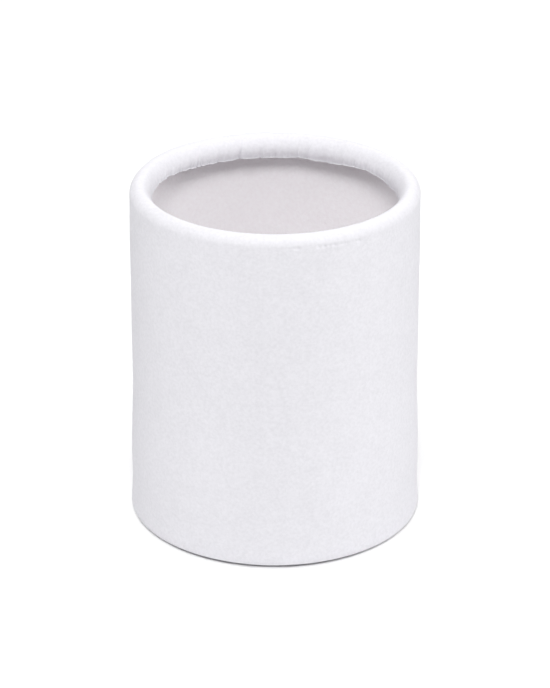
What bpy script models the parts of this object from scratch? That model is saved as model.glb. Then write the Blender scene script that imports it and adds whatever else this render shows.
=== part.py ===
"""Flower bucket: a straight round paper tube whose rim is rolled inwards.

The wall is wound from greyboard plies between a white covering paper and a thin lining
paper. At the rim all of them roll inwards together, and the roll's leg is pressed back
until its cut edge nearly meets the wall. The covering paper is turned in under the tube's
lower edge. Its turned-in leg is the ledge that the base board sits on, and a bead of glue
holds the base board from below.

Metres, +Z up. The origin is the centre of the ring that the bucket stands on.
"""

import math

import bmesh
import bpy

# Driving dimensions of the bucket
OUTER_DIAMETER = 0.120
HEIGHT = 0.145
RIM_BEND_RADIUS = 0.0018  # hollow of the roll
RIM_LEG_LENGTH = 0.0051  # straight leg of the covering paper, from the roll to its cut edge
RIM_TUCK_CLEARANCE = 0.0006  # between the leg's innermost corner and the wall

# Sheets of the wall, from the outside inwards
WRAP_THICKNESS = 0.0003
PLY_THICKNESS = 0.0005
PLY_NAMES = ("board_ply_outer", "board_ply_middle", "board_ply_inner")
LINER_THICKNESS = 0.0002
GLUE_LINE = 0.0001  # film of glue between two neighbours
LEG_STAGGER = 0.00012  # each sheet shows this much below the one that it carries

# Lower edge of the wall, with the covering paper turned in under it
TURN_IN_HEIGHT = 0.0037
OUTER_FOLD_RADIUS = 0.0005  # inside the paper's fold, at the outside of the wall
INNER_FOLD_RADIUS = 0.0002  # inside its second fold, up the inside of the wall

# Seams: a wound sheet's two upright ends meet along a narrow gap
SEAM_GAP = 0.0003
WRAP_SEAM_TURN_SHARE = 0.29  # of a turn from +X: the covering paper's seam is at the back
SEAM_STAGGER_TURN_SHARE = 0.113  # from each seam to the next sheet's, so the liner's is in front

# Base
BASE_BOARD_THICKNESS = 0.0020
BASE_EDGE_ROUNDING = 0.00025
BASE_SEAT_CLEARANCE = 0.0003  # over the ledge that the base board sits on
BASE_SIDE_CLEARANCE = 0.0002  # between the base board and the lining paper
BASE_PAPER_THICKNESS = 0.00025
BASE_LINING_INSET = 0.0006  # from the base board's edge to the lining disc's edge
GLUE_BEAD_WIDTH = 0.0016
GLUE_BEAD_DEPTH = 0.0017
GLUE_BEAD_LIP = 0.0003  # upright edge where the bead ends on the wall and on the board
BASE_COVER_CLEARANCE = 0.0004  # between the bead and the underside's paper

# Facets
FACETS = 56  # round the bucket
OUTER_ROLL_STEPS = 3  # over the rim, from the wall up to the crest
INNER_ROLL_STEPS = 4  # and from the crest down to the leg
FOOT_STEPS = 3  # round a corner of the turned-in lower edge
BEAD_STEPS = 3  # across the hollow face of the glue bead
EDGE_STEPS = 2  # across the rounded edge of the base board
MERGE_DISTANCE = 0.000001

# What follows from them
OUTER_RADIUS = OUTER_DIAMETER / 2
FIRST_PLY_DEPTH = WRAP_THICKNESS + GLUE_LINE  # depths go inwards from the outside of the wall
PLY_PITCH = PLY_THICKNESS + GLUE_LINE
LINER_DEPTH = FIRST_PLY_DEPTH + len(PLY_NAMES) * PLY_PITCH
WALL_DEPTH = LINER_DEPTH + LINER_THICKNESS  # the bare wall, as far as the lining paper's face
TURN_IN_DEPTH = WALL_DEPTH + GLUE_LINE
LEDGE_DEPTH = TURN_IN_DEPTH + WRAP_THICKNESS
RIM_ROLL_RADIUS = RIM_BEND_RADIUS + WALL_DEPTH
LONGEST_LEG = RIM_LEG_LENGTH + (len(PLY_NAMES) + 1) * LEG_STAGGER
OUTER_FOOT_RADIUS = OUTER_FOLD_RADIUS + WRAP_THICKNESS
INNER_FOOT_RADIUS = INNER_FOLD_RADIUS + WRAP_THICKNESS

BASE_BOARD_BOTTOM = TURN_IN_HEIGHT + BASE_SEAT_CLEARANCE
BASE_BOARD_RADIUS = OUTER_RADIUS - WALL_DEPTH - BASE_SIDE_CLEARANCE
BASE_LINING_BOTTOM = BASE_BOARD_BOTTOM + BASE_BOARD_THICKNESS + GLUE_LINE
BEAD_OUTER_RADIUS = OUTER_RADIUS - LEDGE_DEPTH - GLUE_LINE
BEAD_TOP = BASE_BOARD_BOTTOM - GLUE_LINE
BASE_COVER_RADIUS = BEAD_OUTER_RADIUS - GLUE_BEAD_WIDTH - BASE_COVER_CLEARANCE
BASE_COVER_BOTTOM = BASE_BOARD_BOTTOM - GLUE_LINE - BASE_PAPER_THICKNESS


def clear_scene():
    for old in list(bpy.data.objects):
        bpy.data.objects.remove(old)


def new_collection(name):
    collection = bpy.data.collections.new(name)
    bpy.context.scene.collection.children.link(collection)
    return collection


def new_material(name, colour, roughness):
    """A matt, non-metal finish in linear RGB."""
    material = bpy.data.materials.new(name)
    material.use_nodes = True
    shader = material.node_tree.nodes["Principled BSDF"]
    shader.inputs["Base Color"].default_value = (*colour, 1.0)
    shader.inputs["Roughness"].default_value = roughness
    shader.inputs["Metallic"].default_value = 0.0
    material.diffuse_color = (*colour, 1.0)
    return material


def arc(centre, radius, start, end, steps):
    """Points (r, z) along an arc, both ends included. Angles are in degrees from +r towards +z."""
    points = []
    for step in range(steps + 1):
        angle = math.radians(start + (end - start) * step / steps)
        points.append((centre[0] + radius * math.cos(angle), centre[1] + radius * math.sin(angle)))
    return points


def leg_lean():
    """Degrees that the leg leans from upright to the wall, to its clearance there."""
    reach = math.hypot(RIM_BEND_RADIUS, LONGEST_LEG)
    upright = math.atan2(LONGEST_LEG, RIM_BEND_RADIUS)
    tucked = math.acos((RIM_TUCK_CLEARANCE - RIM_BEND_RADIUS) / reach)
    return math.degrees(tucked - upright)


def rolled_face(depth, leg_length):
    """One face of a wall sheet from its free edge inside the rim, over the roll, to the wall."""
    centre = (OUTER_RADIUS - RIM_ROLL_RADIUS, HEIGHT - RIM_ROLL_RADIUS)
    radius = RIM_ROLL_RADIUS - depth
    lean = leg_lean()
    inner = arc(centre, radius, 180 + lean, 90, INNER_ROLL_STEPS)
    outer = arc(centre, radius, 90, 0, OUTER_ROLL_STEPS)
    along = (math.sin(math.radians(lean)), -math.cos(math.radians(lean)))
    free_edge = (inner[0][0] + leg_length * along[0], inner[0][1] + leg_length * along[1])
    return [free_edge] + inner + outer[1:]


def foot_height(depth):
    """Height at which a face of the tube at this depth clears the turned-in paper's folds."""
    height = WRAP_THICKNESS + GLUE_LINE
    past_outer_fold = OUTER_FOOT_RADIUS - depth
    past_inner_fold = INNER_FOOT_RADIUS - (LEDGE_DEPTH - depth)
    folds = (
        (past_outer_fold, OUTER_FOOT_RADIUS, OUTER_FOLD_RADIUS - GLUE_LINE),
        (past_inner_fold, INNER_FOOT_RADIUS, INNER_FOLD_RADIUS - GLUE_LINE),
    )
    for past, centre_height, clear_radius in folds:
        if past > 0:
            rise = math.sqrt(max(clear_radius**2 - past**2, 0.0)) if clear_radius > 0 else 0.0
            height = max(height, centre_height - rise)
    return height


def wall_sheet(depth, thickness, leg_length):
    """Outline of a sheet that stands on the turned-in paper and rolls over with the rim."""
    outside = rolled_face(depth, leg_length)
    inside = rolled_face(depth + thickness, leg_length)
    outside.append((OUTER_RADIUS - depth, foot_height(depth)))
    inside.append((OUTER_RADIUS - depth - thickness, foot_height(depth + thickness)))
    return outside + inside[::-1]


def turned_in_face(depth):
    """One face of the covering paper where it goes under the wall and up inside it.

    The face is followed from the outside of the wall to the top of the turned-in leg.
    """
    outer_centre = (OUTER_RADIUS - OUTER_FOOT_RADIUS, OUTER_FOOT_RADIUS)
    inner_centre = (OUTER_RADIUS - LEDGE_DEPTH + INNER_FOOT_RADIUS, INNER_FOOT_RADIUS)
    points = arc(outer_centre, OUTER_FOOT_RADIUS - depth, 0, -90, FOOT_STEPS)
    points += arc(inner_centre, INNER_FOOT_RADIUS - depth, -90, -180, FOOT_STEPS)
    points.append((inner_centre[0] - INNER_FOOT_RADIUS + depth, TURN_IN_HEIGHT))
    return points


def covering_outline():
    outside = rolled_face(0.0, RIM_LEG_LENGTH) + turned_in_face(0.0)
    inside = rolled_face(WRAP_THICKNESS, RIM_LEG_LENGTH) + turned_in_face(WRAP_THICKNESS)
    return outside + inside[::-1]


def glue_bead_outline():
    """Corner fillet with a hollow face, against the turned-in paper and under the base board."""
    wall = BEAD_OUTER_RADIUS
    inner = wall - GLUE_BEAD_WIDTH
    bottom = BEAD_TOP - GLUE_BEAD_DEPTH
    reach = GLUE_BEAD_WIDTH - GLUE_BEAD_LIP
    fall = GLUE_BEAD_DEPTH - GLUE_BEAD_LIP
    points = [(wall, BEAD_TOP), (wall, bottom)]
    for step in range(BEAD_STEPS + 1):
        angle = math.radians(90) * step / BEAD_STEPS
        points.append((inner + reach * math.cos(angle), bottom + fall * math.sin(angle)))
    points.append((inner, BEAD_TOP))
    return points


def turned(name, outline, material, collection):
    """A closed outline in (r, z), outer side first from top to bottom, turned round +Z."""
    mesh = bpy.data.meshes.new(name)
    profile = bmesh.new()
    corners = [profile.verts.new((r, 0.0, z)) for r, z in outline]
    for corner, following in zip(corners, corners[1:] + corners[:1]):
        profile.edges.new((corner, following))
    profile.to_mesh(mesh)
    profile.free()
    piece = bpy.data.objects.new(name, mesh)
    collection.objects.link(piece)
    screw = piece.modifiers.new("turn", "SCREW")
    screw.axis = "Z"
    screw.angle = math.tau
    screw.steps = FACETS
    screw.render_steps = FACETS
    screw.use_merge_vertices = True
    screw.merge_threshold = MERGE_DISTANCE
    screw.use_smooth_shade = True
    mesh.materials.append(material)
    return piece


def seam_cutter(name, turn_share, collection):
    """An upright blade as thick as the seam's gap, through one side of the wall."""
    overrun = RIM_ROLL_RADIUS
    innermost = OUTER_RADIUS - 2 * RIM_ROLL_RADIUS - overrun
    outermost = OUTER_RADIUS + overrun
    middle = (innermost + outermost) / 2
    angle = math.tau * turn_share
    place = (middle * math.cos(angle), middle * math.sin(angle), HEIGHT / 2)
    bpy.ops.mesh.primitive_cube_add(size=1.0, location=place, rotation=(0.0, 0.0, angle))
    blade = bpy.context.object
    blade.name = name
    blade.scale = (outermost - innermost, SEAM_GAP, HEIGHT + 2 * overrun)
    blade.hide_render = True
    blade.display_type = "WIRE"
    for other in list(blade.users_collection):
        other.objects.unlink(blade)
    collection.objects.link(blade)
    return blade


def cut_seam(piece, order, cutters):
    """Parts the wound sheet where its two ends meet. Neighbouring sheets' seams are staggered."""
    turn_share = WRAP_SEAM_TURN_SHARE + order * SEAM_STAGGER_TURN_SHARE
    cut = piece.modifiers.new("seam", "BOOLEAN")
    cut.operation = "DIFFERENCE"
    cut.solver = "EXACT"
    cut.object = seam_cutter(piece.name + "_seam", turn_share, cutters)


def disc(name, radius, bottom, thickness, material, collection):
    """A round disc cut from board or paper, lying flat."""
    middle = bottom + thickness / 2
    bpy.ops.mesh.primitive_cylinder_add(
        vertices=FACETS, radius=radius, depth=thickness, location=(0.0, 0.0, middle)
    )
    piece = bpy.context.object
    piece.name = name
    piece.data.name = name
    for other in list(piece.users_collection):
        other.objects.unlink(piece)
    collection.objects.link(piece)
    piece.data.materials.append(material)
    return piece


def make_wall(bucket, cutters, white_paper, greyboard, lining_paper):
    sheets = [turned("outer_wrap", covering_outline(), white_paper, bucket)]
    depth = FIRST_PLY_DEPTH
    leg_length = RIM_LEG_LENGTH
    for name in PLY_NAMES:
        leg_length += LEG_STAGGER
        outline = wall_sheet(depth, PLY_THICKNESS, leg_length)
        sheets.append(turned(name, outline, greyboard, bucket))
        depth += PLY_PITCH
    outline = wall_sheet(LINER_DEPTH, LINER_THICKNESS, LONGEST_LEG)
    sheets.append(turned("liner", outline, lining_paper, bucket))
    for order, sheet in enumerate(sheets):
        cut_seam(sheet, order, cutters)


def make_base(bucket, greyboard, lining_paper, glue):
    board = disc(
        "base_board", BASE_BOARD_RADIUS, BASE_BOARD_BOTTOM, BASE_BOARD_THICKNESS, greyboard, bucket
    )
    rounding = board.modifiers.new("die_cut_edge", "BEVEL")
    rounding.width = BASE_EDGE_ROUNDING
    rounding.segments = EDGE_STEPS
    rounding.limit_method = "ANGLE"
    rounding.angle_limit = math.radians(45)
    disc(
        "base_lining",
        BASE_BOARD_RADIUS - BASE_LINING_INSET,
        BASE_LINING_BOTTOM,
        BASE_PAPER_THICKNESS,
        lining_paper,
        bucket,
    )
    disc(
        "base_cover",
        BASE_COVER_RADIUS,
        BASE_COVER_BOTTOM,
        BASE_PAPER_THICKNESS,
        lining_paper,
        bucket,
    )
    turned("base_glue_bead", glue_bead_outline(), glue, bucket)


def main():
    clear_scene()
    bucket = new_collection("flower_bucket")
    cutters = new_collection("cutters")
    white_paper = new_material("white_wrap_paper", (0.86, 0.86, 0.89), 0.80)
    greyboard = new_material("greyboard", (0.42, 0.40, 0.37), 0.92)
    lining_paper = new_material("lining_paper", (0.84, 0.82, 0.82), 0.85)
    glue = new_material("set_glue", (0.74, 0.70, 0.60), 0.45)
    make_wall(bucket, cutters, white_paper, greyboard, lining_paper)
    make_base(bucket, greyboard, lining_paper, glue)


main()
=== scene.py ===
# A small flower bucket, of the paper kind that florists line with foil: a wound board tube in white
# covering paper, its rim rolled inwards, closed by a board disc. It is dressed here in the order
# in which it is made, from the board outwards and then the base.
import math
import random

import bmesh
import bpy
import numpy as np
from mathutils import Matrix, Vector


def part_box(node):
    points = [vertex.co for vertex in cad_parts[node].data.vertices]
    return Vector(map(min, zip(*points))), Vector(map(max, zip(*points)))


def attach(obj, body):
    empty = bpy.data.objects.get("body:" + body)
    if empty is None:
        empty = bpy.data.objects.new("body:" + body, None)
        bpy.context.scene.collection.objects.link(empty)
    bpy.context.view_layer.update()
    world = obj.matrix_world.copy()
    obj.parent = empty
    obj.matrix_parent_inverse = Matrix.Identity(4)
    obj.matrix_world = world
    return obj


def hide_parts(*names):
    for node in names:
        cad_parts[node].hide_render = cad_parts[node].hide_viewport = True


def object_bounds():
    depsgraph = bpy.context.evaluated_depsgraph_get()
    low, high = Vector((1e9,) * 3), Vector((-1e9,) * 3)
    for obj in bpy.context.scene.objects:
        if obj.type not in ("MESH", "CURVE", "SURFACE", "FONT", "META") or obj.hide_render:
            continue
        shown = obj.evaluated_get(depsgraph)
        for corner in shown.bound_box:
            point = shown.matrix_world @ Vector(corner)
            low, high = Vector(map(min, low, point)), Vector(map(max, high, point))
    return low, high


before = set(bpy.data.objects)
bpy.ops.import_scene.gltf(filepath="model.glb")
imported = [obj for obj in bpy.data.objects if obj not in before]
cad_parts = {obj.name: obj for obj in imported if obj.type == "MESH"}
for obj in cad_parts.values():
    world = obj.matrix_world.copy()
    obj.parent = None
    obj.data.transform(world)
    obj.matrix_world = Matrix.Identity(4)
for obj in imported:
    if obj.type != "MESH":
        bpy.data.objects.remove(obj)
cad_low, cad_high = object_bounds()


# Board plies
# Three plies of recycled greyboard, wound on a mandrel and glued to each other, each with its two
# upright ends meeting along a narrow gap. Their upper ends were damped and rolled inwards
# together, and the leg of the roll was pressed back towards the wall, where it dried wavy.
MM = 0.001
PLY_THICKNESS = 0.5 * MM
SEAM_GAP = 0.3 * MM
COVER_SEAM_TURN = math.radians(104.4)
SEAM_STAGGER_TURN = math.radians(40.7)

tube_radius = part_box("outer_wrap")[1].x
tube_height = cad_high.z

# The path that all the sheets follow, as the outermost face walks it from its cut edge inside the
# rim: up the leg, over the roll, down the wall, round its creased lower edge, under that, down the
# narrow ring on which the bucket stands, and up inside. The ring stands back under the wall, whose
# edge hangs clear of the table, so a fine dark gap shows there.
LEG_LENGTH = 1.5 * MM
LEG_LEAN = math.radians(12)
ROLL_SIDE_RADIUS = 8.5 * MM
ROLL_CROWN_RADIUS = 2.6 * MM
ROLL_CROWN_TURN = math.radians(50)
ROLL_SHOULDER_RADIUS = 4.2 * MM
OUTER_FOOT_RADIUS = 0.34 * MM
HOLLOW_RADIUS = 0.3 * MM
INNER_FOOT_RADIUS = 0.38 * MM
EDGE_SLOPE = math.radians(6)
RING_SLOPE = math.radians(65)
RING_SIDE_LENGTH = 1.15 * MM
LEDGE_DEPTH = 2.8 * MM
TURN_IN_HEIGHT = 3.7 * MM
QUARTER_TURN = math.radians(90)

ring_width = INNER_FOOT_RADIUS * (1 + math.sin(RING_SLOPE)) + RING_SIDE_LENGTH * math.cos(RING_SLOPE)
hollow_width = HOLLOW_RADIUS * (math.sin(RING_SLOPE) - math.sin(EDGE_SLOPE))
edge_width = LEDGE_DEPTH - ring_width - hollow_width - OUTER_FOOT_RADIUS * (1 - math.sin(EDGE_SLOPE))
edge_length = edge_width / math.cos(EDGE_SLOPE)
ring_height = INNER_FOOT_RADIUS * (1 - math.cos(RING_SLOPE)) + RING_SIDE_LENGTH * math.sin(RING_SLOPE)
ring_height += HOLLOW_RADIUS * (math.cos(EDGE_SLOPE) - math.cos(RING_SLOPE))
edge_height = ring_height + edge_width * math.tan(EDGE_SLOPE)
wall_foot_height = edge_height + OUTER_FOOT_RADIUS * math.cos(EDGE_SLOPE)
side_length = ROLL_SIDE_RADIUS * (QUARTER_TURN + LEG_LEAN - ROLL_CROWN_TURN)
crown_length = ROLL_CROWN_RADIUS * ROLL_CROWN_TURN
shoulder_length = ROLL_SHOULDER_RADIUS * QUARTER_TURN
wall_length = tube_height - ROLL_SHOULDER_RADIUS - wall_foot_height
outer_fold_length = OUTER_FOOT_RADIUS * (QUARTER_TURN - EDGE_SLOPE)
hollow_length = HOLLOW_RADIUS * (RING_SLOPE - EDGE_SLOPE)
inner_fold_length = INNER_FOOT_RADIUS * (QUARTER_TURN + RING_SLOPE)
RUNS = (  # length and outer radius of each run: none if it is straight, a minus if it is hollow
    (LEG_LENGTH, 0),
    (side_length, ROLL_SIDE_RADIUS),
    (crown_length, ROLL_CROWN_RADIUS),
    (shoulder_length, ROLL_SHOULDER_RADIUS),
    (wall_length, 0),
    (outer_fold_length, OUTER_FOOT_RADIUS),
    (edge_length, 0),
    (hollow_length, -HOLLOW_RADIUS),
    (RING_SIDE_LENGTH, 0),
    (inner_fold_length, INNER_FOOT_RADIUS),
    (TURN_IN_HEIGHT - INNER_FOOT_RADIUS, 0),
)
wall_top_reach = LEG_LENGTH + side_length + crown_length + shoulder_length
wall_foot_reach = wall_top_reach + wall_length
whole_reach = sum(length for length, radius in RUNS)
turned_in_reach = whole_reach - TURN_IN_HEIGHT + INNER_FOOT_RADIUS
path_end = np.array([tube_radius - LEDGE_DEPTH, TURN_IN_HEIGHT])


def walk(reach):
    """Places (r, z) and outward normals at distances along the path, which are its reach."""
    facing = 2 * QUARTER_TURN + LEG_LEAN
    normal = np.array([math.cos(facing), math.sin(facing)])
    onward = np.array([normal[1], -normal[0]])
    corner = np.zeros(2)
    places = np.zeros(reach.shape + (2,))
    normals = np.zeros(reach.shape + (2,))
    passed = -math.inf
    begun = 0.0
    for length, radius in RUNS:
        along = reach - begun
        end_facing = facing
        if radius:
            angles = facing - along / radius
            end_facing = facing - length / radius
            run_normals = np.stack([np.cos(angles), np.sin(angles)], -1)
            run_places = corner + radius * (run_normals - normal)
        else:
            run_normals = np.broadcast_to(normal, places.shape)
            run_places = corner + along[..., None] * onward
        here = reach >= passed
        places[here] = run_places[here]
        normals[here] = run_normals[here]
        end_normal = np.array([math.cos(end_facing), math.sin(end_facing)])
        corner = corner + (radius * (end_normal - normal) if radius else length * onward)
        facing = end_facing
        normal = end_normal
        onward = np.array([normal[1], -normal[0]])
        begun += length
        passed = begun
    return places + path_end - corner, normals


def ease(share):
    """A soft start and a soft stop between 0 and 1."""
    share = np.clip(share, 0.0, 1.0)
    return share * share * (3.0 - 2.0 * share)


def ripple(turn, slowest, fastest, seed, waves=9):
    """A smooth wobble round the tube, mostly within -1 and 1, of whole waves in a turn."""
    chance = random.Random(seed)
    total = np.zeros_like(turn)
    for _ in range(waves):
        count = chance.randint(slowest, fastest)
        total = total + np.sin(count * turn + chance.uniform(0, math.tau))
    return total / math.sqrt(waves)


# Where the rolled paper took up its spare width in pleats. Each row has its place round the cut
# edge in degrees, how far it slants from there over the rim, its fold's step (with a minus where
# the fold lies the other way), its length, how far the cut edge hangs there, and how far it sags
# before the next pleat, in mm.
BACK_PLEATS = (
    (26.0, 0.0, 0.14, 4.0, -0.8, 0.0),
    (40.0, 2.0, 0.22, 5.0, -1.35, 0.1),
    (48.0, 1.0, 0.14, 4.0, -0.7, 0.05),
    (55.0, -1.0, 0.26, 6.0, -0.15, 0.3),
    (64.5, 1.0, 0.24, 5.5, 0.25, 0.2),
    (73.5, 3.5, 0.40, 10.0, 0.0, 0.0),
    (78.5, 1.0, 0.40, 5.5, -0.55, 0.3),
    (90.0, 2.0, 0.16, 5.0, 0.1, 0.05),
    (97.0, 1.0, 0.20, 5.0, -0.2, 0.2),
    (107.4, 3.5, 0.42, 10.0, -0.45, 0.4),
    (118.6, 3.0, 0.40, 7.0, -0.2, 0.3),
    (124.2, 2.0, 0.30, 5.5, -0.2, 0.2),
    (130.3, 3.5, 0.44, 7.5, -0.2, 0.3),
    (135.8, 2.0, -0.26, 5.0, -0.6, 0.2),
    (141.0, 3.5, -0.44, 6.5, -1.0, 0.3),
    (152.0, 2.5, -0.34, 5.5, -2.1, 0.3),
    (163.0, 1.5, -0.20, 5.0, -2.6, 0.15),
    (175.0, 1.0, -0.16, 4.5, -2.4, 0.1),
    (184.0, 0.5, -0.14, 4.5, -2.0, 0.2),
    (193.0, 0.5, -0.14, 4.5, -1.4, 0.2),
)
PLEAT_GAPS = (6.0, 11.0)
PLEAT_SLANTS = (-2.5, 3.0)
PLEAT_STEPS = (0.12, 0.30)
PLEAT_LENGTHS = (4.0, 8.0)
PLEAT_LEVELS = (-0.35, 0.25)
PLEAT_SAGS = (0.05, 0.35)
PLEAT_SEED = 14

chance = random.Random(PLEAT_SEED)
pleats = list(BACK_PLEATS)
pleat_place = pleats[-1][0] + chance.uniform(*PLEAT_GAPS)
while pleat_place < 360 + pleats[0][0] - PLEAT_GAPS[0]:
    ways = (PLEAT_SLANTS, PLEAT_STEPS, PLEAT_LENGTHS, PLEAT_LEVELS, PLEAT_SAGS)
    pleats.append((pleat_place,) + tuple(chance.uniform(*span) for span in ways))
    pleat_place += chance.uniform(*PLEAT_GAPS)
pleat_columns = np.array(pleats).T
pleat_slants = np.radians(pleat_columns[1])
pleat_turns = np.radians(pleat_columns[0]) - pleat_slants
pleat_steps, pleat_lengths, pleat_levels, pleat_sags = pleat_columns[2:] * MM

# How far from the cut edge the pleats' slant, the hanging leg, the chords from pleat to pleat and
# the buckles of the damped board reach, and how much these lift the sheets. The wall has faint
# waves, which fade out at both its ends. Waves round the tube are given by the fewest and the most
# in a turn and by a seed.
SLANT_REACH = 14 * MM
HANG_REACH = 5 * MM
CHORD_RISE = 0.2 * MM
CHORD_REACH = 7 * MM
BUCKLE_RISE = 0.12 * MM
BUCKLE_REACH = 9 * MM
BUCKLE_WAVES = (34, 90, 3)
WALL_WAVE_RISE = 0.05 * MM
WALL_WAVE_LENGTH = 45 * MM
WALL_WAVES = (3, 14, 5)
CROSSING_WALL_WAVES = (3, 14, 6)
CROSSING_LENGTH_SHARE = 0.7
WAVE_FADE_SHARE = 0.1


def between_pleats(turn):
    """The pleat before each place round the rim, the next one, and the share of the way there."""
    place = pleat_turns[0] + np.mod(turn - pleat_turns[0], math.tau)
    before = np.searchsorted(pleat_turns, place, side="right") - 1
    after = (before + 1) % len(pleat_turns)
    gap = np.mod(pleat_turns[after] - pleat_turns[before], math.tau)
    return before, after, (place - pleat_turns[before]) / gap


def hang(turn):
    """How far the leg hangs below its even length: least at the pleats, with sags between."""
    before, after, way = between_pleats(turn)
    level = pleat_levels[before] * (1 - way) + pleat_levels[after] * way
    return level + pleat_sags[before] * 4 * way * (1 - way)


def shared_rise(turn, reach):
    """How far the dried sheets stand proud of an even roll: chords between pleats, and buckles."""
    way = between_pleats(turn)[2]
    chord = CHORD_RISE * 4 * way * (1 - way) * ease(1 - reach / CHORD_REACH)
    buckle = BUCKLE_RISE * ripple(turn, *BUCKLE_WAVES) * ease(1 - reach / BUCKLE_REACH)
    fade_length = WAVE_FADE_SHARE * wall_length
    on_wall = ease((reach - wall_top_reach) / fade_length)
    on_wall = on_wall * ease((wall_foot_reach - reach) / fade_length)
    climb = reach / WALL_WAVE_LENGTH * math.tau
    wave = ripple(turn, *WALL_WAVES) * np.sin(climb)
    wave = wave + ripple(turn, *CROSSING_WALL_WAVES) * np.cos(CROSSING_LENGTH_SHARE * climb)
    return chord + buckle + WALL_WAVE_RISE * wave * on_wall


# The base board is pressed in and the paper is turned in over the tube's end, so the wall stands
# out a little there, and the roll draws the rest of the wall in. At the back left the rim was
# rolled a little full.
BASE_SWELL = 0.35 * MM
SWELL_HEIGHTS = (22 * MM, 64 * MM)
FOOT_FLARE = 0.5 * MM
FLARE_HEIGHT = 13 * MM
RIM_DRAW = 0.75 * MM
RIM_PINCH = 0.3 * MM
PINCH_HEIGHTS = (105 * MM, 140 * MM)
FULL_SHOULDER = 0.7 * MM
FULL_TURN = math.radians(138)
FULL_WIDTH = math.radians(20)
FULL_HEIGHTS = (85 * MM, 138 * MM)

# The rim was rolled deepest into the opening at the back, where its leg then hangs less low: the
# share by which the roll's inner half lies deeper, by degrees round the tube, evened out between
# five places that reach a spread to either side.
DEEP_TURNS = (0.0, 25.0, 50.0, 90.0, 130.0, 155.0, 180.0, 210.0, 240.0, 330.0)
DEEP_SHARES = (0.08, 0.30, 0.46, 0.50, 0.48, 0.30, 0.12, 0.12, 0.0, 0.0)
DEEP_SPREAD = math.radians(12)
DEEP_SPREAD_SHARES = (-1.0, -0.5, 0.0, 0.5, 1.0)
DEEP_LIFT_SHARE = 0.47


def girth(turn, height):
    """How far out of the plain cylinder the tube stands at a place."""
    above = ease((height - SWELL_HEIGHTS[0]) / (SWELL_HEIGHTS[1] - SWELL_HEIGHTS[0]))
    off = np.mod(turn - FULL_TURN + math.pi, math.tau) - math.pi
    full = np.exp(-((off / FULL_WIDTH) ** 2))
    upper = ease((height - FULL_HEIGHTS[0]) / (FULL_HEIGHTS[1] - FULL_HEIGHTS[0]))
    pinched = ease((height - PINCH_HEIGHTS[0]) / (PINCH_HEIGHTS[1] - PINCH_HEIGHTS[0]))
    flared = BASE_SWELL * (1 - above) + FOOT_FLARE * ease(1 - height / FLARE_HEIGHT)
    drawn_in = RIM_DRAW * above + RIM_PINCH * pinched
    return flared - drawn_in + FULL_SHOULDER * full * upper


def deepening(turn, radius):
    """How much further in a place on the roll's inner half lies than on an even roll."""
    inward = np.clip(tube_radius - ROLL_SHOULDER_RADIUS - radius, 0, None)
    share = 0.0
    for side in DEEP_SPREAD_SHARES:
        near = np.degrees(turn + side * DEEP_SPREAD)
        share = share + np.interp(near, DEEP_TURNS, DEEP_SHARES, period=360) / len(DEEP_SPREAD_SHARES)
    return share * inward


def sheet_face(turns, reaches, depth, rise=None):
    """Grid of points on one face of a wound sheet, rows along the path and columns round it."""
    reach, turn = np.meshgrid(reaches, turns, indexing="ij")
    hanging = hang(turn) * np.clip(1 - reach / HANG_REACH, 0, 2)
    places, normals = walk(reach - hanging)
    out = shared_rise(turn, reach) - depth
    if rise is not None:
        out = out + rise(turn, reach)
    places = places + normals * out[..., None]
    slant = np.interp(turn, pleat_turns, pleat_slants, period=math.tau)
    turn = turn + slant * ease(1 - reach / SLANT_REACH)
    deeper = deepening(turn, places[..., 0])
    radius = places[..., 0] + girth(turn, places[..., 1]) - deeper
    height = places[..., 1] + DEEP_LIFT_SHARE * deeper
    return np.stack([radius * np.cos(turn), radius * np.sin(turn), height], -1)


def grid_faces(rows, columns, first=0):
    """Quads of a grid of points that is stored row by row."""
    corner = first + (np.arange(rows - 1)[:, None] * columns + np.arange(columns - 1)).ravel()
    return np.stack([corner, corner + 1, corner + columns + 1, corner + columns], -1).tolist()


CORNER_ANGLE = math.radians(38)


def closed_piece(name, points, faces, material):
    """A closed mesh piece with its faces pointing out, smooth but for its real corners."""
    mesh = bpy.data.meshes.new(name)
    mesh.from_pydata(points.tolist(), [], faces)
    body = bmesh.new()
    body.from_mesh(mesh)
    bmesh.ops.recalc_face_normals(body, faces=body.faces)
    body.to_mesh(mesh)
    body.free()
    mesh.shade_smooth()
    mesh.set_sharp_from_angle(angle=CORNER_ANGLE)
    mesh.materials.append(material)
    piece = bpy.data.objects.new(name, mesh)
    bpy.context.scene.collection.objects.link(piece)
    return piece


def wound_sheet(name, face, back, stride, material):
    """Joins a sheet's two faces along their edges and at its two ends. The back has every
    stride-th row of the face."""
    rows, columns = face.shape[:2]
    back_rows = back.shape[0]
    first_back = rows * columns
    faces = grid_faces(rows, columns)
    faces += [quad[::-1] for quad in grid_faces(back_rows, columns, first_back)]
    last_face = (rows - 1) * columns
    last_back = first_back + (back_rows - 1) * columns
    for column in range(columns - 1):
        upper = (column, column + 1, first_back + column + 1, first_back + column)
        faces.append(upper[::-1])
        faces.append((
            last_face + column, last_face + column + 1,
            last_back + column + 1, last_back + column,
        ))
    for end in (0, columns - 1):
        for step in range(back_rows - 1):
            near = [row * columns + end for row in range(step * stride, (step + 1) * stride + 1)]
            far = [first_back + (step + 1) * columns + end, first_back + step * columns + end]
            faces.append(near + far if end else (near + far)[::-1])
    points = np.concatenate([face.reshape(-1, 3), back.reshape(-1, 3)])
    return closed_piece(name, points, faces, material)


COLUMN_TURN = math.radians(0.5)
PLEAT_FOLD_TURN = 0.1 * MM / tube_radius
FLARE_ROWS = 7
ROW_CLOSENESS = 1.4


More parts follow.
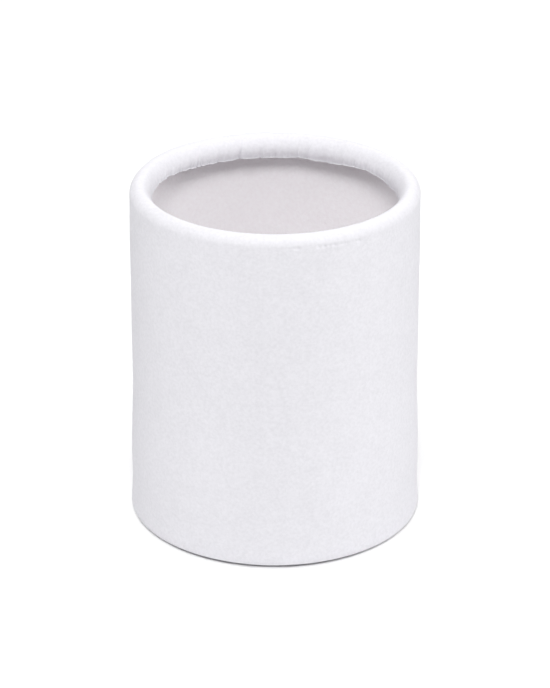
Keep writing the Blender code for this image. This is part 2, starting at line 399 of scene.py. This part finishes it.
def columns_between(first, last):
    """Turns of a sheet's columns, with a close pair of them at each pleat."""
    even = np.linspace(first, last, round((last - first) / COLUMN_TURN) + 1)
    folds = np.concatenate([pleat_turns - PLEAT_FOLD_TURN, pleat_turns + PLEAT_FOLD_TURN])
    folds = first + np.mod(folds - first, math.tau)
    margin = 2 * PLEAT_FOLD_TURN
    folds = folds[(folds > first + margin) & (folds < last - margin)]
    return np.unique(np.concatenate([even, folds]))


def butted_columns(order):
    """Columns of the sheet that is wound in this order, from one end of it to the other."""
    half_gap = SEAM_GAP / 2 / tube_radius
    seam = COVER_SEAM_TURN + order * SEAM_STAGGER_TURN
    return columns_between(seam + half_gap, seam + math.tau - half_gap)


def spaced(first, last, rows, closer=1.0):
    """Reaches from first to last, closer together at the first where closer is over 1."""
    return first + (last - first) * np.linspace(0, 1, rows) ** closer


def wall_rows(rows, first=wall_top_reach):
    """Reaches down the wall, this many of them above its flared foot and close ones on that."""
    flare_reach = wall_foot_reach - FLARE_HEIGHT
    upper = spaced(first, flare_reach, rows, ROW_CLOSENESS)
    return np.concatenate([upper[:-1], spaced(flare_reach, wall_foot_reach, FLARE_ROWS)])


def srgb(hex_colour):
    """Linear colour of a hex value as a paint chart gives it."""
    parts = [int(hex_colour[i : i + 2], 16) / 255 for i in (1, 3, 5)]
    return tuple(c / 12.92 if c <= 0.04045 else ((c + 0.055) / 1.055) ** 2.4 for c in parts) + (1,)


def add_node(tree, kind, settings=None, links=None):
    """Adds a node with its settings, and links its inputs from other nodes' outputs."""
    node = tree.nodes.new(kind)
    for key, value in (settings or {}).items():
        if isinstance(key, str) and hasattr(node, key):
            setattr(node, key, value)
        else:
            node.inputs[key].default_value = value
    for key, source in (links or {}).items():
        tree.links.new(source, node.inputs[key])
    return node


def new_material(name):
    """A material with an empty node tree, and that tree."""
    material = bpy.data.materials.new(name)
    material.use_nodes = True
    material.node_tree.nodes.clear()
    return material, material.node_tree


# Recycled greyboard: milled from waste paper, so it is a warm grey with dark and pale fibres, and
# quite matt. The fibres are 0.6 mm apart and the clouds in the pulp about 8 mm.
GREYBOARD_TONES = ("#9C968C", "#B3ADA3")
GREYBOARD_FLECK = "#6F6A63"
FIBRE_SIZE = 0.6 * MM
PULP_CLOUD_SIZE = 8 * MM
GREYBOARD_CLOUD_SHARES = (0.35, 0.65)
GREYBOARD_FLECK_SHARES = (0.58, 0.72)
GREYBOARD_RELIEF = 0.04 * MM
GREYBOARD_ROUGHNESS = 0.92
PAPER_IOR = 1.47


def recycled_greyboard():
    """Greyboard: cloudy in tone, with darker fibres that stand a little proud, and no gloss."""
    material, tree = new_material("recycled_greyboard")
    place = add_node(tree, "ShaderNodeTexCoord").outputs["Object"]
    clouds = add_node(
        tree, "ShaderNodeTexNoise", {"Scale": 1 / PULP_CLOUD_SIZE, "Detail": 3.0}, {"Vector": place}
    )
    tone = add_node(tree, "ShaderNodeValToRGB", None, {"Fac": clouds.outputs["Fac"]})
    for end in (0, 1):
        tone.color_ramp.elements[end].position = GREYBOARD_CLOUD_SHARES[end]
        tone.color_ramp.elements[end].color = srgb(GREYBOARD_TONES[end])
    fibres = add_node(
        tree, "ShaderNodeTexNoise", {"Scale": 1 / FIBRE_SIZE, "Detail": 4.0}, {"Vector": place}
    )
    flecks = add_node(
        tree,
        "ShaderNodeMapRange",
        {"From Min": GREYBOARD_FLECK_SHARES[0], "From Max": GREYBOARD_FLECK_SHARES[1]},
        {"Value": fibres.outputs["Fac"]},
    )
    colour = add_node(
        tree,
        "ShaderNodeMix",
        {"data_type": "RGBA", 7: srgb(GREYBOARD_FLECK)},
        {0: flecks.outputs["Result"], 6: tone.outputs["Color"]},
    )
    relief = add_node(
        tree,
        "ShaderNodeBump",
        {"Strength": 1.0, "Distance": GREYBOARD_RELIEF},
        {"Height": fibres.outputs["Fac"]},
    )
    board = add_node(
        tree,
        "ShaderNodeBsdfPrincipled",
        {"Roughness": GREYBOARD_ROUGHNESS, "IOR": PAPER_IOR},
        {"Base Color": colour.outputs[2], "Normal": relief.outputs["Normal"]},
    )
    add_node(tree, "ShaderNodeOutputMaterial", None, {"Surface": board.outputs["BSDF"]})
    return material


greyboard = recycled_greyboard()

HIDDEN_LEG_ROWS = 6
HIDDEN_ROLL_ROWS = 15
HIDDEN_WALL_ROWS = 15
LEG_STAGGER = 0.12 * MM
FOOT_CLEARANCE = 0.06 * MM
FOOT_PLACES = 200

cover_depth = tube_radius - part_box("board_ply_outer")[1].x


def standing_face(turns, reaches, depth, foot):
    """A face of a sheet that stands in the covering paper's fold, cut square at this height."""
    face = sheet_face(turns, reaches, depth)
    face[-1, :, 2] = foot
    return face


foot_reaches = np.linspace(wall_foot_reach, turned_in_reach, FOOT_PLACES)
foot_places, foot_normals = walk(foot_reaches)
turned_in_face = foot_places - foot_normals * cover_depth


def foot_of(depth, thickness):
    """How high a sheet's foot is cut, to stand clear of the turned-in paper at that depth."""
    across = tube_radius - turned_in_face[:, 0]
    under = (across > depth - FOOT_CLEARANCE) & (across < depth + thickness + FOOT_CLEARANCE)
    return turned_in_face[under, 1].max() + FOOT_CLEARANCE


ply_nodes = ("board_ply_outer", "board_ply_middle", "board_ply_inner")
for order, node in enumerate(ply_nodes, start=1):
    depth = tube_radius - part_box(node)[1].x
    turns = butted_columns(order)
    reaches = np.concatenate([
        spaced(-order * LEG_STAGGER, LEG_LENGTH, HIDDEN_LEG_ROWS)[:-1],
        spaced(LEG_LENGTH, wall_top_reach, HIDDEN_ROLL_ROWS)[:-1],
        wall_rows(HIDDEN_WALL_ROWS),
    ])
    ply = wound_sheet(
        "wound_ply_" + node.split("_")[-1],
        standing_face(turns, reaches, depth, foot_of(depth, PLY_THICKNESS)),
        standing_face(turns, reaches, depth + PLY_THICKNESS, foot_of(depth, PLY_THICKNESS)),
        1,
        greyboard,
    )
    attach(ply, "root")
    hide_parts(node)


# Lining sheet
# A sheet of thin, slightly warm white paper that was laid on the mandrel first, so it lines the
# tube from the base up under the roll. It is the wall that shows inside, with its upright joint
# at the front.
LINING_THICKNESS = 0.2 * MM
LINING_ORDER = 4
LINING_TONES = ("#F9F5F8", "#FFFDFF")
LINING_GRAIN = 1.6 * MM
LINING_RELIEF = 0.25 * MM
LINING_ROUGHNESS = 0.85
LINING_LEG_ROWS = 6
LINING_ROLL_ROWS = 19
LINING_WALL_ROWS = 20
PULP_CLOUD_SHARE = 0.2
PULP_TONE_SHARES = (0.3, 0.7)


def uncoated_paper(name, tones, grain, relief, roughness, painted_shade_tone=None, painted_shade_heights=None):
    """Uncoated paper: matt, its tone a little uneven where the pulp lay thicker, and its surface
    grained by the felt that it was pressed on. Real grain is about 0.3 mm, too fine to show from
    a step away, so it is drawn at the size and relief given. Where a shade tone is given, it is
    painted shade: the paper is painted darker towards the bottom, wholly below the first height
    given and not at all above the second, standing in for the shadow in the gap under the wall's
    edge."""
    material, tree = new_material(name)
    place = add_node(tree, "ShaderNodeTexCoord").outputs["Object"]
    felt = add_node(
        tree,
        "ShaderNodeTexNoise",
        {"Scale": 1 / grain, "Detail": 3.0, "Roughness": 0.6},
        {"Vector": place},
    )
    clouds = add_node(
        tree, "ShaderNodeTexNoise", {"Scale": 1 / PULP_CLOUD_SIZE, "Detail": 2.0}, {"Vector": place}
    )
    together = add_node(
        tree,
        "ShaderNodeMix",
        {"data_type": "FLOAT", 0: PULP_CLOUD_SHARE},
        {2: felt.outputs["Fac"], 3: clouds.outputs["Fac"]},
    )
    thickness = add_node(
        tree,
        "ShaderNodeMapRange",
        {"From Min": PULP_TONE_SHARES[0], "From Max": PULP_TONE_SHARES[1]},
        {"Value": together.outputs[0]},
    )
    colour = add_node(
        tree,
        "ShaderNodeMix",
        {"data_type": "RGBA", 6: srgb(tones[0]), 7: srgb(tones[1])},
        {0: thickness.outputs["Result"]},
    )
    # Painted shade: darker below the given heights, standing in for the shadow in the gap under the
    # bucket's edge.
    if painted_shade_tone:
        height = add_node(tree, "ShaderNodeSeparateXYZ", None, {"Vector": place}).outputs["Z"]
        painted_shade_mask = add_node(
            tree,
            "ShaderNodeMapRange",
            {"From Min": painted_shade_heights[1], "From Max": painted_shade_heights[0]},
            {"Value": height},
        )
        colour = add_node(
            tree,
            "ShaderNodeMix",
            {"data_type": "RGBA", 7: srgb(painted_shade_tone)},
            {0: painted_shade_mask.outputs["Result"], 6: colour.outputs[2]},
        )
    surface = add_node(
        tree,
        "ShaderNodeBump",
        {"Strength": 1.0, "Distance": relief},
        {"Height": felt.outputs["Fac"]},
    )
    paper = add_node(
        tree,
        "ShaderNodeBsdfPrincipled",
        {"Roughness": roughness, "IOR": PAPER_IOR},
        {"Base Color": colour.outputs[2], "Normal": surface.outputs["Normal"]},
    )
    add_node(tree, "ShaderNodeOutputMaterial", None, {"Surface": paper.outputs["BSDF"]})
    return material


lining_paper = uncoated_paper(
    "lining_paper", LINING_TONES, LINING_GRAIN, LINING_RELIEF, LINING_ROUGHNESS
)
lining_depth = tube_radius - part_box("liner")[1].x
turns = butted_columns(LINING_ORDER)
lining_reaches = np.concatenate([
    spaced(-(LINING_ORDER - 1) * LEG_STAGGER, LEG_LENGTH, LINING_LEG_ROWS)[:-1],
    spaced(LEG_LENGTH, wall_top_reach, LINING_ROLL_ROWS)[:-1],
    wall_rows(LINING_WALL_ROWS),
])
lining_foot = foot_of(lining_depth, LINING_THICKNESS)
lining = wound_sheet(
    "lining_sheet",
    standing_face(turns, lining_reaches, lining_depth, lining_foot),
    standing_face(turns, lining_reaches, lining_depth + LINING_THICKNESS, lining_foot),
    1,
    lining_paper,
)
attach(lining, "root")
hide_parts("liner")


# Covering sheet
# White wood-free paper, glued round the tube, where its end laps over its start at the back. It
# was rolled over with the rim and pressed into pleats on the roll's leg, where its cut edge
# curls a little, and turned in under the tube's lower edge. There its standing ring is painted
# grey: painted shade for the shadow in the gap under the wall's edge.
COVER_THICKNESS = 0.3 * MM
COVER_TONES = ("#E6E5EA", "#F1F0F5")
COVER_GRAIN = 1.3 * MM
COVER_RELIEF = 0.06 * MM
COVER_ROUGHNESS = 0.8
# Painted shade: the grey painted on the standing ring below these heights, for the shadow in the gap
# under the wall's edge.
FOOT_GAP_PAINTED_SHADE = "#B4B3B7"
FOOT_GAP_SHADE_HEIGHTS = (1.0 * MM, 1.4 * MM)
LAP_LENGTH = 12 * MM
LAP_RAMP = 2.5 * MM
LAP_FEATHER = 0.2 * MM
FEATHER_LENGTH = 3 * MM
EDGE_CURL = 0.14 * MM
EDGE_CURL_REACH = 0.6 * MM
PLEAT_WIDTH = 2.2 * MM
PLEAT_FOLD_SHARE = 0.7
PLEAT_GROOVE_SHARE = 0.6
PLEAT_GROOVE_WIDTH = 0.4 * MM
PUCKER_RISE = 0.09 * MM
PUCKER_REACH = 6 * MM
PUCKERED_TURN = math.radians(140)
PUCKERED_WIDTH = math.radians(26)
PUCKERED_SHARE = 1.2
PUCKER_WAVES = (70, 190, 8)
TURN_IN_PUCKER = 0.15 * MM
TURN_IN_WAVES = (40, 130, 9)

# Small dents where the roll meets the wall: degrees round the tube, then how far below that line,
# half the length round the tube, half the width and the depth, in mm. The sheet's rows lie close
# together in the band that holds most of them.
DENTS = (
    (276.8, 0.2, 2.4, 0.5, 0.12),
    (278.3, 0.1, 1.2, 0.6, 0.42),
    (286.6, 0.1, 0.7, 0.6, 0.38),
    (288.9, 0.2, 0.6, 0.6, 0.38),
    (291.0, 0.2, 0.6, 0.6, 0.38),
    (293.0, 0.3, 0.7, 0.6, 0.36),
    (296.5, 0.5, 2.6, 0.5, 0.14),
    (303.8, 0.8, 0.9, 0.6, 0.38),
    (326.0, -3.0, 0.8, 0.8, 0.10),
    (207.5, -1.7, 1.8, 1.2, 0.12),
    (241.0, 0.1, 1.2, 0.6, 0.08),
    (66.0, -0.1, 1.4, 0.7, 0.10),
    (121.0, 0.3, 1.0, 0.6, 0.12),
    (12.0, -0.3, 1.1, 0.6, 0.10),
    (173.0, 0.1, 1.5, 0.6, 0.10),
)
DENTED_BAND = (-1.2 * MM, 1.6 * MM)

lap_start = COVER_SEAM_TURN - LAP_LENGTH / tube_radius
lap_end = COVER_SEAM_TURN + math.tau


def cover_rise(turn, reach):
    """How far the covering paper's outer face stands proud of the roll for its own part."""
    inner_radius = tube_radius - 2 * ROLL_SHOULDER_RADIUS
    rise = np.zeros_like(turn)
    for place, step, length in zip(pleat_turns, pleat_steps, pleat_lengths):
        across = (np.mod(turn - place + math.pi, math.tau) - math.pi) * inner_radius
        across = across * math.copysign(1, step)
        fade = ease(1 - reach / length)
        fold = np.clip(1 + across / PLEAT_WIDTH, 0, 1) ** 2 * (across < 0)
        groove = np.exp(-abs(across) / PLEAT_GROOVE_WIDTH)
        rise += abs(step) * fade * (PLEAT_FOLD_SHARE * fold - PLEAT_GROOVE_SHARE * groove)
    rise += EDGE_CURL * np.clip(1 - reach / EDGE_CURL_REACH, 0, 1) ** 2
    off = np.mod(turn - PUCKERED_TURN + math.pi, math.tau) - math.pi
    puckered = PUCKER_RISE * (1 + PUCKERED_SHARE * np.exp(-((off / PUCKERED_WIDTH) ** 2)))
    rise += puckered * ripple(turn, *PUCKER_WAVES) * ease(1 - reach / PUCKER_REACH)
    for degrees, below, half_length, half_width, deep in DENTS:
        across = np.mod(turn - math.radians(degrees) + math.pi, math.tau) - math.pi
        away = (across * tube_radius / (half_length * MM)) ** 2
        away += ((reach - wall_top_reach - below * MM) / (half_width * MM)) ** 2
        rise -= deep * MM * np.exp(-away)
    rise -= LAP_FEATHER * ease(1 - (lap_end - turn) * tube_radius / FEATHER_LENGTH)
    turned_in = ease((reach - turned_in_reach) / TURN_IN_HEIGHT)
    return rise + TURN_IN_PUCKER * ripple(turn, *TURN_IN_WAVES) * turned_in


def lap_rise(turn, reach):
    """The end of the covering paper stands proud by its thickness where it laps over its start."""
    climbed = turn - (lap_start + math.tau) + LAP_RAMP / tube_radius
    return COVER_THICKNESS * ease(climbed / (LAP_RAMP / tube_radius))


# Rows of each run of the sheet's outer face. Its inner face has every third of them, which takes in
# both ends.
COVER_STRIDE = 3
COVER_LEG_ROWS = 11
COVER_ROLL_ROWS = 25
DENTED_ROWS = 12
COVER_WALL_ROWS = 20
OUTER_FOLD_ROWS = 4
EDGE_ROWS = 3
HOLLOW_ROWS = 3
INNER_FOLD_ROWS = 5
TURN_IN_ROWS = 3

fold_end_reach = wall_foot_reach + outer_fold_length
edge_end_reach = fold_end_reach + edge_length
hollow_end_reach = edge_end_reach + hollow_length
ring_side_end_reach = hollow_end_reach + RING_SIDE_LENGTH
inner_fold_end_reach = ring_side_end_reach + inner_fold_length
band_start = wall_top_reach + DENTED_BAND[0]
band_end = wall_top_reach + DENTED_BAND[1]
turns = columns_between(lap_start, lap_end)
cover_reaches = np.concatenate([
    spaced(0, LEG_LENGTH, COVER_LEG_ROWS, ROW_CLOSENESS)[:-1],
    spaced(LEG_LENGTH, band_start, COVER_ROLL_ROWS)[:-1],
    spaced(band_start, band_end, DENTED_ROWS)[:-1],
    wall_rows(COVER_WALL_ROWS, band_end)[:-1],
    spaced(wall_foot_reach, fold_end_reach, OUTER_FOLD_ROWS)[:-1],
    spaced(fold_end_reach, edge_end_reach, EDGE_ROWS)[:-1],
    spaced(edge_end_reach, hollow_end_reach, HOLLOW_ROWS)[:-1],
    [hollow_end_reach],
    spaced(ring_side_end_reach, inner_fold_end_reach, INNER_FOLD_ROWS)[:-1],
    spaced(inner_fold_end_reach, whole_reach, TURN_IN_ROWS),
])
face = sheet_face(
    turns, cover_reaches, 0, lambda turn, reach: cover_rise(turn, reach) + lap_rise(turn, reach)
)
back = sheet_face(turns, cover_reaches[::COVER_STRIDE], COVER_THICKNESS, lap_rise)
covering_paper = uncoated_paper(
    "wood_free_covering_paper", COVER_TONES, COVER_GRAIN, COVER_RELIEF, COVER_ROUGHNESS,
    FOOT_GAP_PAINTED_SHADE, FOOT_GAP_SHADE_HEIGHTS,
)
cover = wound_sheet("covering_sheet", face, back, COVER_STRIDE, covering_paper)
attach(cover, "root")
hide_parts("outer_wrap")


# Base board
# A disc die-cut from 2 mm greyboard and pressed in from below until it sat on the turned-in
# paper, which is what swells the wall there. The die left its edge slightly rounded.
DISC_COLUMNS = 240
DISC_RINGS = 26
CORNER_STEPS = 4
EDGE_WAVES = (2, 17)
EDGE_WOBBLE_FADE = 4
DISH_WAVES = (1, 6)
DISH_BENDS = 3
BOARD_EDGE_WOBBLE = 0.04 * MM
BOARD_EDGE_ROUNDING = 0.25 * MM
BOARD_DISH = 0.05 * MM
BOARD_SEED = 21


def disc_piece(name, node, spread, edge_wobble, dish, edge_rounding, seed, material):
    """A round disc in the place of a node: its edge a little uneven and its faces a little dished."""
    low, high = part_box(node)
    radius = high.x + spread
    turns = np.linspace(0, math.tau, DISC_COLUMNS, endpoint=False)
    wobble = edge_wobble * ripple(turns, *EDGE_WAVES, seed)
    corner = edge_rounding * (1 - np.cos(np.linspace(0, QUARTER_TURN, CORNER_STEPS)))
    fall = edge_rounding * (1 - np.sin(np.linspace(0, QUARTER_TURN, CORNER_STEPS)))
    rings = [(share * (radius - edge_rounding), 0.0) for share in np.linspace(0, 1, DISC_RINGS)[1:]]
    rings += [(radius - inset, drop) for inset, drop in zip(corner[::-1], fall[::-1])][1:]
    points = []
    for top in (True, False):
        level = high.z if top else low.z
        side = -1 if top else 1
        points.append((0.0, 0.0, level))
        for reach_out, drop in rings:
            share = reach_out / radius
            out = reach_out + wobble * share ** EDGE_WOBBLE_FADE
            wave = dish * np.sin(DISH_BENDS * share) * ripple(turns, *DISH_WAVES, seed + 1)
            heights = level + side * drop + wave
            points += zip(out * np.cos(turns), out * np.sin(turns), heights)
    count = 1 + len(rings) * DISC_COLUMNS
    faces = []
    for first in (0, count):
        for column in range(DISC_COLUMNS):
            following = (column + 1) % DISC_COLUMNS
            faces.append((first, first + 1 + column, first + 1 + following))
            for ring in range(len(rings) - 1):
                inner = first + 1 + ring * DISC_COLUMNS
                outer = inner + DISC_COLUMNS
                faces.append((inner + column, outer + column, outer + following, inner + following))
    rim = 1 + (len(rings) - 1) * DISC_COLUMNS
    for column in range(DISC_COLUMNS):
        following = (column + 1) % DISC_COLUMNS
        faces.append((rim + column, count + rim + column, count + rim + following, rim + following))
    return closed_piece(name, np.array(points), faces, material)


base_spread = girth(0.0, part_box("base_board")[0].z)
base_board = disc_piece(
    "pressed_base_board", "base_board", base_spread - BOARD_EDGE_WOBBLE,
    BOARD_EDGE_WOBBLE, BOARD_DISH, BOARD_EDGE_ROUNDING, BOARD_SEED, greyboard,
)
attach(base_board, "root")
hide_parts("base_board")


# Base papers
# Two punched discs of the lining paper. One was laid on the base board inside, for looks, and the
# other was glued over it from below. Thin paper on wet glue dries with a faint ripple.
PAPER_DISC_EDGE_WOBBLE = 0.12 * MM
PAPER_DISC_DISH = 0.05 * MM
PAPER_DISC_ROUNDING = 0.06 * MM
UPPER_DISC_SEED = 31
LOWER_DISC_SEED = 35

for name, node, spread, seed in (
    ("base_lining_disc", "base_lining", base_spread / 2, UPPER_DISC_SEED),
    ("base_cover_disc", "base_cover", 0, LOWER_DISC_SEED),
):
    disc = disc_piece(
        name, node, spread, PAPER_DISC_EDGE_WOBBLE,
        PAPER_DISC_DISH, PAPER_DISC_ROUNDING, seed, lining_paper,
    )
    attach(disc, "root")
    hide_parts(node)


# Glue bead
# A bead of white glue, run by hand into the corner between the base board and the turned-in
# paper, so its width varies. It has dried off-white, with a soft gloss and a hollow face.
BEAD_COLUMNS = 360
BEAD_FACE_STEPS = 8
BEAD_WIDTH = 1.6 * MM
BEAD_LIP = 0.3 * MM
BEAD_UNEVENNESS_SHARE = 0.16
BEAD_WAVES = (3, 40, 41)
GLUE_TONE = "#EDE7DA"
GLUE_RIPPLE_LENGTH = 2.5 * MM
GLUE_RIPPLE_RISE = 0.1 * MM
GLUE_ROUGHNESS = 0.38
GLUE_IOR = 1.46
GLUE_SCATTER_SHARE = 0.15
GLUE_SCATTERING = (0.6 * MM, 0.5 * MM, 0.4 * MM)

bead_low, bead_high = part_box("base_glue_bead")
bead_outer = bead_high.x + base_spread
bead_depth = bead_high.z - bead_low.z
bead_turns = np.linspace(0, math.tau, BEAD_COLUMNS, endpoint=False)
fullness = 1 + BEAD_UNEVENNESS_SHARE * ripple(bead_turns, *BEAD_WAVES)
lip_share = BEAD_LIP / BEAD_WIDTH
hollow_share = 1 - lip_share
bead_rows = [(0.0, 0.0), (0.0, 0.5), (0.0, 1.0)]
for angle in np.linspace(0, QUARTER_TURN, BEAD_FACE_STEPS):
    inward = lip_share + hollow_share * (1 - math.cos(angle))
    bead_rows.append((inward, 1 - hollow_share * math.sin(angle)))
bead_rows += [(1.0, 0.0), (0.5, 0.0)]
bead_points = []
for inward, downward in bead_rows:
    out = bead_outer - inward * BEAD_WIDTH * fullness
    heights = bead_high.z - downward * bead_depth * (1 + (fullness - 1) / 2)
    bead_points.append(np.stack([out * np.cos(bead_turns), out * np.sin(bead_turns), heights], -1))
bead_faces = []
for row in range(len(bead_rows)):
    this_row = row * BEAD_COLUMNS
    next_row = (row + 1) % len(bead_rows) * BEAD_COLUMNS
    for column in range(BEAD_COLUMNS):
        following = (column + 1) % BEAD_COLUMNS
        bead_faces.append((
            this_row + column, this_row + following, next_row + following, next_row + column,
        ))


def set_white_glue():
    """Dried dispersion glue: off-white, a little see-through at its thin lips, softly glossy."""
    material, tree = new_material("set_white_glue")
    place = add_node(tree, "ShaderNodeTexCoord").outputs["Object"]
    skin = add_node(
        tree,
        "ShaderNodeTexNoise",
        {"Scale": 1 / GLUE_RIPPLE_LENGTH, "Detail": 2.0},
        {"Vector": place},
    )
    ripples = add_node(
        tree,
        "ShaderNodeBump",
        {"Strength": 1.0, "Distance": GLUE_RIPPLE_RISE},
        {"Height": skin.outputs["Fac"]},
    )
    glue = add_node(
        tree,
        "ShaderNodeBsdfPrincipled",
        {
            "Base Color": srgb(GLUE_TONE),
            "Roughness": GLUE_ROUGHNESS,
            "IOR": GLUE_IOR,
            "Subsurface Weight": GLUE_SCATTER_SHARE,
            "Subsurface Radius": GLUE_SCATTERING,
            "Subsurface Scale": 1.0,
        },
        {"Normal": ripples.outputs["Normal"]},
    )
    add_node(tree, "ShaderNodeOutputMaterial", None, {"Surface": glue.outputs["BSDF"]})
    return material


glue_bead = closed_piece(
    "glue_bead_ring", np.concatenate(bead_points), bead_faces, set_white_glue()
)
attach(glue_bead, "root")
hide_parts("base_glue_bead")


# Floor and light
# A white paper sweep under a faint, even sky, with a square soft lamp in front and one on each
# side, all of them above, and a weak one behind. What the camera sees of the sweep is exposed
# just up to white, as in a cut-out product picture, and keeps the bucket's shadow.
FLOOR_SIDE = 2.6
FLOOR_BOUNCE = 0.82
FLOOR_SEEN = 1.02
SKY_LEVELS = (0.02, 0.62)  # at the horizon and overhead
SKY_COLOUR = (1.0, 1.0, 1.0, 1.0)
SOFT_LAMPS = (  # name, place and side in metres, and power in watts
    ("key_lamp", (-0.06, -1.67, 1.99), 0.7, 32.5),
    ("left_lamp", (-1.74, 0.0, 1.93), 1.4, 15.0),
    ("right_lamp", (2.25, 0.16, 1.3), 1.8, 25.5),
    ("back_lamp", (0.0, 1.99, 1.67), 1.6, 7.0),
)


def seen_directly(tree):
    """1 for what the camera sees straight, in a mirror finish or through a clear one."""
    path = add_node(tree, "ShaderNodeLightPath")
    either = add_node(
        tree,
        "ShaderNodeMath",
        {"operation": "MAXIMUM"},
        {0: path.outputs["Is Camera Ray"], 1: path.outputs["Is Glossy Ray"]},
    )
    return add_node(
        tree,
        "ShaderNodeMath",
        {"operation": "MAXIMUM"},
        {0: either.outputs[0], 1: path.outputs["Is Transmission Ray"]},
    ).outputs[0]


sweep_mesh = bpy.data.meshes.new("white_sweep")
half = FLOOR_SIDE / 2
sweep_corners = [(-half, -half, 0), (half, -half, 0), (half, half, 0), (-half, half, 0)]
sweep_mesh.from_pydata(sweep_corners, [], [(0, 1, 2, 3)])
sweep = bpy.data.objects.new("white_sweep", sweep_mesh)
bpy.context.scene.collection.objects.link(sweep)
sweep_paper, tree = new_material("white_sweep_paper")
bouncing = add_node(tree, "ShaderNodeBsdfDiffuse", {"Color": (FLOOR_BOUNCE,) * 3 + (1,)})
seen = add_node(tree, "ShaderNodeBsdfDiffuse", {"Color": (FLOOR_SEEN,) * 3 + (1,)})
either_way = add_node(
    tree,
    "ShaderNodeMixShader",
    None,
    {0: seen_directly(tree), 1: bouncing.outputs[0], 2: seen.outputs[0]},
)
add_node(tree, "ShaderNodeOutputMaterial", None, {"Surface": either_way.outputs[0]})
sweep_mesh.materials.append(sweep_paper)

sky = bpy.data.worlds.new("even_white_sky")
sky.use_nodes = True
tree = sky.node_tree
tree.nodes.clear()
towards = add_node(tree, "ShaderNodeTexCoord").outputs["Generated"]
height = add_node(tree, "ShaderNodeSeparateXYZ", None, {"Vector": towards}).outputs["Z"]
level = add_node(
    tree,
    "ShaderNodeMapRange",
    {"To Min": SKY_LEVELS[0], "To Max": SKY_LEVELS[1]},
    {"Value": height},
)
lighting = add_node(
    tree, "ShaderNodeBackground", {"Color": SKY_COLOUR}, {"Strength": level.outputs["Result"]}
)
backdrop = add_node(tree, "ShaderNodeBackground", {"Color": (1, 1, 1, 1), "Strength": 1.0})
either_way = add_node(
    tree,
    "ShaderNodeMixShader",
    None,
    {0: seen_directly(tree), 1: lighting.outputs[0], 2: backdrop.outputs[0]},
)
add_node(tree, "ShaderNodeOutputWorld", None, {"Surface": either_way.outputs[0]})
bpy.context.scene.world = sky

for name, place, side, power in SOFT_LAMPS:
    lamp_data = bpy.data.lights.new(name, "AREA")
    lamp_data.energy = power
    lamp_data.shape = "SQUARE"
    lamp_data.size = side
    lamp = bpy.data.objects.new(name, lamp_data)
    lamp.location = place
    aim = Vector((0, 0, tube_height / 2)) - lamp.location
    lamp.rotation_euler = aim.to_track_quat("-Z", "Y").to_euler()
    bpy.context.scene.collection.objects.link(lamp)


# Camera
# A long lens a little over a metre away, looking down by 25 degrees. The ellipses of the rim and
# the base show that: the base's is the rounder one.
CAMERA_PLACE = (0.0, -1.0463, 0.5666)
CAMERA_PITCH = math.radians(25.28)
CAMERA_LENS = 145.76

camera_data = bpy.data.cameras.new("camera")
camera_data.lens = CAMERA_LENS
camera = bpy.data.objects.new("camera", camera_data)
camera.location = CAMERA_PLACE
camera.rotation_euler = (QUARTER_TURN - CAMERA_PITCH, 0, 0)
bpy.context.scene.collection.objects.link(camera)
bpy.context.scene.camera = camera
bpy.context.scene.view_settings.view_transform = "Standard"
